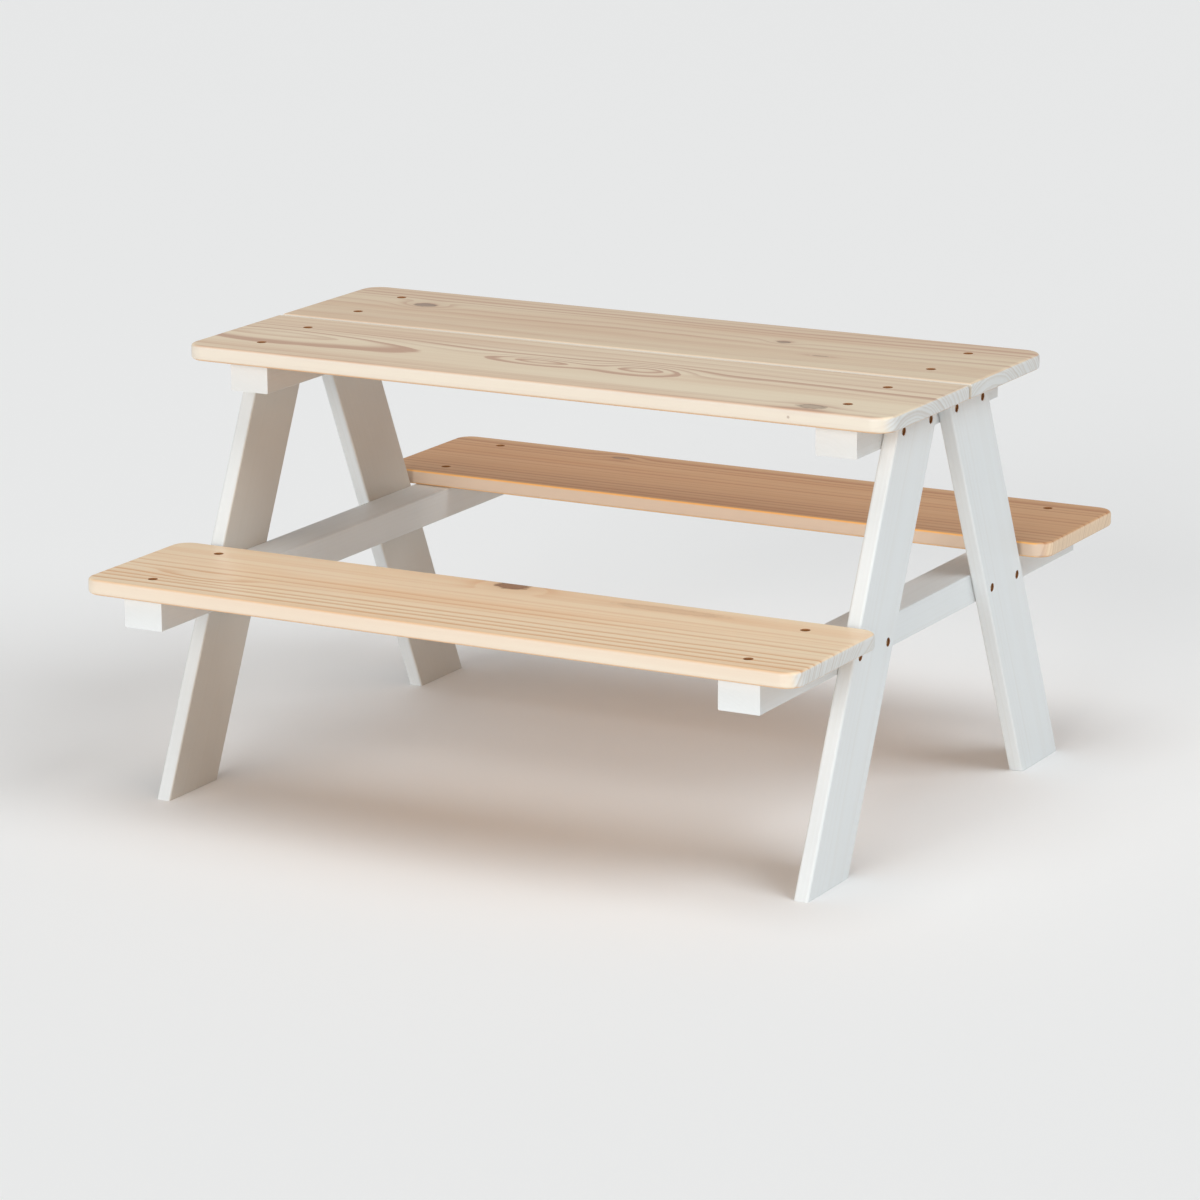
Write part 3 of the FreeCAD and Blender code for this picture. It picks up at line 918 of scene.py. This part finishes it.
def add_thread(screw, size, reach):
    """Wind a triangular ridge round the screw's core and unite the two."""
    start = -size.head_height - size.plain
    room = reach - size.head_height - size.plain - size.tip * 0.45
    turns = int(room / size.pitch)
    core, crest, half = size.core / 2, size.thread / 2, size.ridge / 2
    inner = core * 0.8
    bpy.ops.object.select_all(action="DESELECT")
    bpy.ops.mesh.primitive_circle_add(vertices=3, radius=1, fill_type="NGON",
                                      location=(0, 0, 0))
    ridge = name_piece(bpy.context.object, "thread")
    places = [Vector((crest, 0, start)), Vector((inner, 0, start + half * 1.25)),
              Vector((inner, 0, start - half * 1.25))]
    for corner, place in zip(ridge.data.vertices, places):
        corner.co = place
    wind = ridge.modifiers.new("Wind", "SCREW")
    wind.axis = "Z"
    wind.angle = math.tau * turns
    wind.screw_offset = -size.pitch * turns
    wind.steps = 20 * turns
    wind.render_steps = 20 * turns
    wind.use_merge_vertices = False
    make_active(ridge)
    bpy.ops.object.modifier_apply(modifier=wind.name)
    bpy.ops.object.mode_set(mode="EDIT")
    bpy.ops.mesh.select_all(action="SELECT")
    bpy.ops.mesh.remove_doubles(threshold=0.000001)
    bpy.ops.mesh.select_all(action="DESELECT")
    bpy.ops.mesh.select_mode(type="EDGE")
    bpy.ops.mesh.select_non_manifold(extend=False)
    bpy.ops.mesh.edge_face_add()
    bpy.ops.mesh.select_all(action="SELECT")
    bpy.ops.mesh.normals_make_consistent(inside=False)
    bpy.ops.object.mode_set(mode="OBJECT")
    unite = screw.modifiers.new("Thread", "BOOLEAN")
    unite.operation = "UNION"
    unite.solver = "EXACT"
    unite.object = ridge
    make_active(screw)
    bpy.ops.object.modifier_apply(modifier=unite.name)
    bpy.data.objects.remove(ridge, do_unlink=True)


def cut_recess(screw, size):
    """Cut the tapered cross recess into the head."""
    slots = []
    for turn in (0.0, math.pi / 2):
        beyond = 0.6 * MM
        deep = size.recess_depth
        bpy.ops.object.select_all(action="DESELECT")
        bpy.ops.mesh.primitive_cube_add(size=1, location=(0, 0, (beyond - deep) / 2),
                                        rotation=(0, 0, turn),
                                        scale=(size.recess, size.recess_slot, beyond + deep))
        bpy.ops.object.transform_apply(location=True, rotation=True, scale=True)
        slot = name_piece(bpy.context.object, "slot")

        def floor(middle, normal):
            return normal.z < -0.9

        pick_faces(slot, floor)
        bpy.ops.transform.resize(value=(0.5, 0.62, 1) if turn == 0 else (0.62, 0.5, 1))
        bpy.ops.object.mode_set(mode="OBJECT")
        slots.append(slot)
    for slot in slots:
        carve = screw.modifiers.new("Recess", "BOOLEAN")
        carve.operation = "DIFFERENCE"
        carve.solver = "EXACT"
        carve.object = slot
        make_active(screw)
        bpy.ops.object.modifier_apply(modifier=carve.name)
        bpy.data.objects.remove(slot, do_unlink=True)


# -------------------------------------------------------------------------------------- the woods

ALONG_X, ALONG_Y = Vector((1, 0, 0)), Vector((0, 1, 0))

BOARD_LOGS = {
    "table_board_front": Log(
        11.3, pith=(-42, -90), ring=13.5, drift=4.6, blush=(58, 42, 0.50),
        calm=(30, 70, 0.6), uneven=2.2,
        crowns=[Crown(-35, 2, 66, 19, 2.4), Crown(92, 14, 56, 26, 2.9),
                Crown(-400, 14, 190, 34, 2.6, 0.0)],
        knots=[Knot(347, -80, 16, 9, 0.4, 0.8, 0.6),
               Knot(330, -103.5, 1.6, 1.6, 0.1, 0.1, 0.8, half_height=1.6)]),
    "table_board_rear": Log(
        27.9, pith=(-52, -92), ring=13.0, drift=4.6, blush=(84, 34, 0.5),
        calm=(15, -25, 0.75), uneven=2.2,
        crowns=[],
        knots=[Knot(-325, 21, 13, 9, 1.9, 1.0, 0.75), Knot(160, 13, 8, 5, 1.1, 0.8, 0.7),
               Knot(233, -41, 9, 2.5, 0.5, 0.2, 0.5)]),
    "bench_board_front": Log(
        41.7, pith=(128, -96), ring=13.0, drift=3.6, calm=(-30, 30, 0.55), uneven=3.0,
        crowns=[Crown(-330, -35, 60, 18, 1.0)],
        knots=[Knot(0, 92, 19, 13, 1.3, 0.0), Knot(208, 76, 66, 9, 0.5, 0.0, 0.14)]),
    "bench_board_rear": Log(
        58.1, pith=(160, -70), ring=12.0, drift=2.2,
        crowns=[],
        knots=[Knot(-206, 74, 11, 6, 0.9, 0.6, 0.6)]),
}


def board_grain(node):
    """How a board's grain is laid out in a shader."""
    low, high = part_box(node)
    centre = (low + high) / 2

    def lay(shade):
        return Timber(shade, centre, ALONG_X, ALONG_Y, BOARD_LOGS[node])
    return lay


def inward_of(node):
    """The direction from a piece of one end frame towards the table's middle."""
    return Vector((1, 0, 0)) if node.endswith("left") else Vector((-1, 0, 0))


def rail_grain(node, seed):
    """How a rail's grain is laid out in a shader."""
    low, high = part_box(node)
    centre = (low + high) / 2
    log = Log(seed, pith=(30, -60), ring=4.2, drift=2.0)

    def lay(shade):
        return Timber(shade, centre, ALONG_Y, -ALONG_X, log)
    return lay


def leg_grain(node, seed):
    """How a leg's grain is laid out in a shader, along its lean."""
    low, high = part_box(node)
    centre = (low + high) / 2
    lean = leg_lean(node.split("_")[1])
    grain = Vector((0, lean, 1)).normalized()
    across = Vector((0, 1, -lean)).normalized()
    log = Log(seed, pith=(12, 58), ring=4.6, drift=2.4)

    def lay(shade):
        return Timber(shade, centre, grain, across, log)
    return lay


# -------------------------------------------------------------------------------------- operators


class PICNIC_OT_tabletop(bpy.types.Operator):
    """Add the two boards of the tabletop"""

    bl_idname = "picnic.tabletop"
    bl_label = "Tabletop boards"

    def execute(self, context):
        finish = finishes()
        bore_painted_shade = bore_painted_shade_material(finish)
        for row in ("front", "rear"):
            node = f"table_board_{row}"
            front = row == "front"
            wood = natural_pine(f"pine_{node}", board_grain(node),
                                finish.table_early if front else finish.table_rear,
                                finish.table_late, finish, arris_light_above=0.1 if front else 0.0,
                                edge_cream=0.78 if front else 0.95)
            add_board(node, sizes().table_corner, f"table_screws_{row}", wood, bore_painted_shade)
        return {"FINISHED"}


class PICNIC_OT_benches(bpy.types.Operator):
    """Add the two bench boards"""

    bl_idname = "picnic.benches"
    bl_label = "Bench boards"

    def execute(self, context):
        finish = finishes()
        bore_painted_shade = bore_painted_shade_material(finish)
        # The third number of each row is the painted highlight on the bench's upper arris.
        woods = {"front": (finish.bench_early, finish.bench_late, 0.15, 0.62, finish.end_grain),
                 # The rear bench's wood colours carry a painted shade for the tabletop's shadow on
                 # it.
                 "rear": (finish.rear_wood_and_painted_shade, finish.rear_streaks_and_painted_shade, 0.95, 0.50, finish.rear_ends)}
        for row, (early, late, arris_light, cream, ends) in woods.items():
            node = f"bench_board_{row}"
            wood = natural_pine(f"pine_{node}", board_grain(node), early, late, finish,
                                arris_light_above=arris_light, edge_cream=cream, ends_pale=ends,
                                arris_light_tint=finish.rear_arris_painted_light if row == "rear" else None)
            add_board(node, sizes().bench_corner, f"bench_screws_{row}", wood, bore_painted_shade)
        return {"FINISHED"}


class PICNIC_OT_legs(bpy.types.Operator):
    """Add the four leaning legs"""

    bl_idname = "picnic.legs"
    bl_label = "Legs"

    def execute(self, context):
        finish = finishes()
        bore_painted_shade = bore_painted_shade_material(finish)
        seed = 71.3
        for end in ("front", "rear"):
            for side in ("left", "right"):
                node = f"leg_{end}_{side}"
                glaze = white_glaze(f"glaze_{node}", leg_grain(node, seed), finish,
                                    inward_of(node), 0.6)
                add_leg(node, glaze, bore_painted_shade)
                seed += 6.7
        return {"FINISHED"}


class PICNIC_OT_rails(bpy.types.Operator):
    """Add the two rails under the tabletop and the two under the benches"""

    bl_idname = "picnic.rails"
    bl_label = "Rails"

    def execute(self, context):
        finish = finishes()
        bore_painted_shade = bore_painted_shade_material(finish)
        seed = 113.9
        for level in ("top", "seat"):
            for side in ("left", "right"):
                node = f"{level}_rail_{side}"
                glaze = white_glaze(f"glaze_{node}", rail_grain(node, seed), finish,
                                    inward_of(node), 0.45 if level == "top" else 0.15)
                add_rail(node, glaze, bore_painted_shade)
                seed += 5.9
        return {"FINISHED"}


class PICNIC_OT_screws(bpy.types.Operator):
    """Add the sixteen pairs of screws"""

    bl_idname = "picnic.screws"
    bl_label = "Screws"

    def execute(self, context):
        metal = screw_metal(finishes())
        pairs = [Pair(name) for name in sorted(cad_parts) if "_screws_" in name]
        master = add_screw(pairs[0].reach, pairs[0].radius)
        master.data.materials.append(metal)
        count = 0
        for pair in pairs:
            placed = []
            for head in pair.heads:
                make_active(master)
                bpy.ops.object.duplicate(linked=False)
                screw = bpy.context.object
                spin = Matrix.Rotation(math.radians(37 * count), 4, "Z")
                point = UP.rotation_difference(-pair.axis).to_matrix().to_4x4()
                screw.matrix_world = Matrix.Translation(head) @ point @ spin
                bpy.ops.object.transform_apply(location=True, rotation=True, scale=True)
                placed.append(screw)
                count += 1
            make_active(*placed)
            bpy.ops.object.join()
            both = name_piece(bpy.context.object, f"{pair.node}_pair")
            hand_over(both, pair.node)
        bpy.data.objects.remove(master, do_unlink=True)
        return {"FINISHED"}


def add_soft_light(name, azimuth, elevation, spread, strength, tint):
    """A broad, far light that shines evenly on the table; azimuth 0 is the front, 90 the right."""
    around, above = math.radians(azimuth), math.radians(elevation)
    back = Vector((math.sin(around) * math.cos(above), -math.cos(around) * math.cos(above),
                   math.sin(above)))
    bpy.ops.object.light_add(type="SUN", location=back * 5)
    light = bpy.context.object
    light.name = name
    light.data.angle = math.radians(spread)
    light.data.energy = strength
    light.data.color = tint
    light.rotation_euler = back.to_track_quat("Z", "Y").to_euler()
    return light


class PICNIC_OT_stage(bpy.types.Operator):
    """Add the floor, the lights and the camera"""

    bl_idname = "picnic.stage"
    bl_label = "Floor, lights and camera"

    def execute(self, context):
        bpy.ops.object.select_all(action="DESELECT")
        floor_size, thickness = 60.0, 0.05
        bpy.ops.mesh.primitive_plane_add(size=floor_size, location=(0, 0, 0))
        floor = name_piece(bpy.context.object, "studio_floor")
        bpy.ops.object.mode_set(mode="EDIT")
        bpy.ops.mesh.select_all(action="SELECT")
        bpy.ops.mesh.extrude_region_move(TRANSFORM_OT_translate={"value": (0, 0, -thickness)})
        bpy.ops.mesh.select_all(action="SELECT")
        bpy.ops.mesh.normals_make_consistent(inside=False)
        bpy.ops.object.mode_set(mode="OBJECT")
        floor.data.materials.append(floor_paint(finishes()))

        add_soft_light("key_front", 2, 12, 30, 1.63, (1.0, 0.995, 0.98))
        add_soft_light("key_high", -8, 76, 40, 0.80, (1.0, 0.995, 0.98))
        add_soft_light("fill_right", 85, 42, 40, 1.19, (0.91, 0.965, 1.0))

        world = bpy.data.worlds.new("studio_air")
        world.use_nodes = True
        air = world.node_tree.nodes["Background"]
        air.inputs["Color"].default_value = (1.0, 0.99, 0.98, 1.0)
        air.inputs["Strength"].default_value = 0.31
        context.scene.world = world

        azimuth, elevation, roll = math.radians(28.677), math.radians(14.223), math.radians(0.256)
        distance, focal = 5.62287, 145.286
        aim = Vector((-0.008581, -0.016563, 0.213913))
        back = Vector((math.sin(azimuth) * math.cos(elevation),
                       -math.cos(azimuth) * math.cos(elevation), math.sin(elevation)))
        bpy.ops.object.camera_add(location=aim + back * distance)
        camera = context.object
        camera.name = "studio_camera"
        camera.rotation_euler = (back.to_track_quat("Z", "Y").to_matrix()
                                 @ Matrix.Rotation(-roll, 3, "Z")).to_euler()
        camera.data.lens = focal
        camera.data.sensor_width = 36
        camera.data.clip_start, camera.data.clip_end = 0.05, 200
        context.scene.camera = camera
        context.scene.view_settings.view_transform = "Standard"
        context.scene.view_settings.look = "None"
        return {"FINISHED"}


OPERATORS = (PICNIC_OT_stage, PICNIC_OT_tabletop, PICNIC_OT_benches, PICNIC_OT_legs,
             PICNIC_OT_rails, PICNIC_OT_screws)


class PICNIC_PT_build(bpy.types.Panel):
    """Lists the pieces of the picnic table"""

    bl_idname = "PICNIC_PT_build"
    bl_label = "Picnic table"
    bl_space_type = "VIEW_3D"
    bl_region_type = "UI"
    bl_category = "Picnic Table"

    def draw(self, context):
        column = self.layout.column(align=True)
        for operator in OPERATORS:
            column.operator(operator.bl_idname)
        for group in (context.scene.picnic_sizes, context.scene.picnic_finish):
            box = self.layout.box()
            for name in group.__annotations__:
                box.prop(group, name)


CLASSES = (PICNIC_PG_sizes, PICNIC_PG_finish, *OPERATORS, PICNIC_PT_build)


def register():
    """Register the classes and their settings."""
    for item in CLASSES:
        bpy.utils.register_class(item)
    bpy.types.Scene.picnic_sizes = bpy.props.PointerProperty(type=PICNIC_PG_sizes)
    bpy.types.Scene.picnic_finish = bpy.props.PointerProperty(type=PICNIC_PG_finish)


def unregister():
    """Take the classes and their settings away."""
    del bpy.types.Scene.picnic_finish
    del bpy.types.Scene.picnic_sizes
    for item in reversed(CLASSES):
        bpy.utils.unregister_class(item)


def main():
    """Build the whole table."""
    register()
    bpy.ops.picnic.stage()
    bpy.ops.picnic.tabletop()
    bpy.ops.picnic.benches()
    bpy.ops.picnic.legs()
    bpy.ops.picnic.rails()
    bpy.ops.picnic.screws()


if __name__ == "__main__":
    main()
